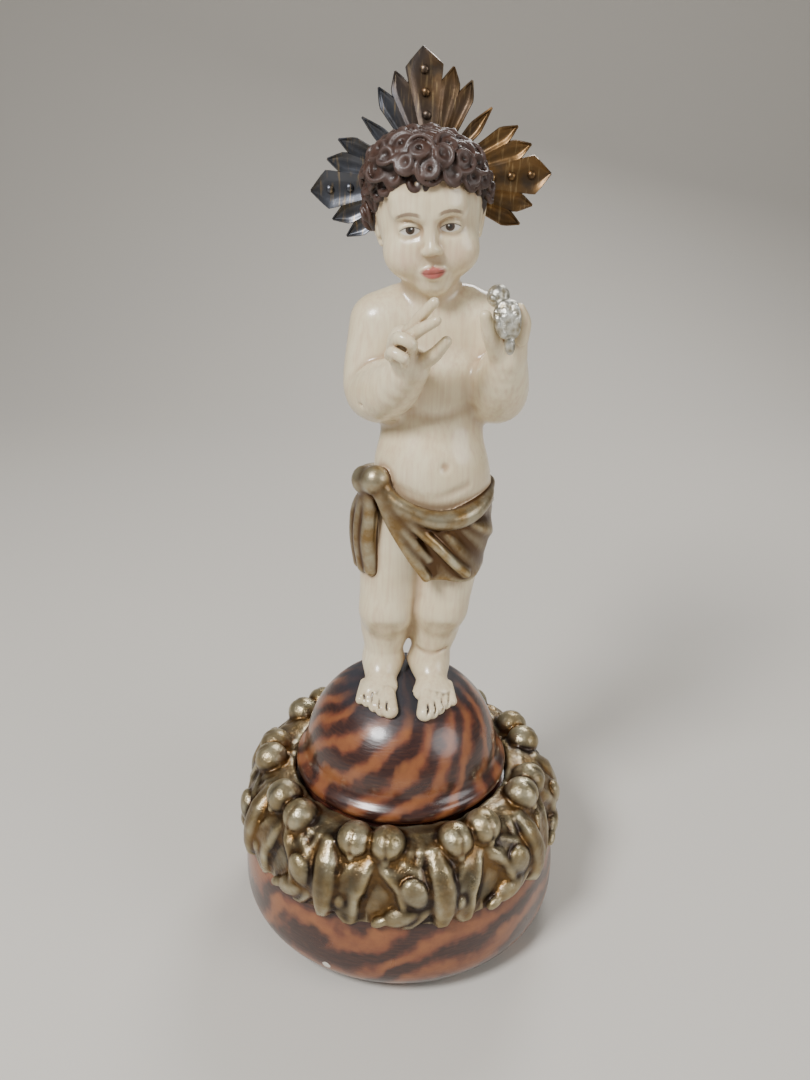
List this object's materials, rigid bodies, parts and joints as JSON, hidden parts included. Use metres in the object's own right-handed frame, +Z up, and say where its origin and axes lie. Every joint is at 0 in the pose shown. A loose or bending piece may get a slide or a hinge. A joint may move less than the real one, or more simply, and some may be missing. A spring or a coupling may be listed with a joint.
{
  "type": "standing child figure with halo",
  "caption": "Standing child figure with curls and knotted loincloth, small bird in hand, rayed halo, on a turned base with a leaf and fruit garland.",
  "frame": {"origin": "centre of the underside of the base", "axes": "+Z up through the figure and the halo's tip, the figure faces -Y"},
  "size_m": [0.1495, 0.1481, 0.3583],
  "materials": {
    "stained_wood": "grained in dark streaks and varnished",
    "aged_gilding": "silver gilt leaf worn to brown in the hollows",
    "ivory_enamel": "ivory coloured oil paint, varnished, over carved wood",
    "silver_leaf": "crinkled silver leaf",
    "halo_metal": "darkened thin embossed sheet"
  },
  "bodies": {
    "root": {"bun_base": "stained_wood", "garland": "aged_gilding", "mound": "stained_wood", "figure": "ivory_enamel", "held_bird": "silver_leaf", "halo": "halo_metal"}
  },
  "joints": []
}
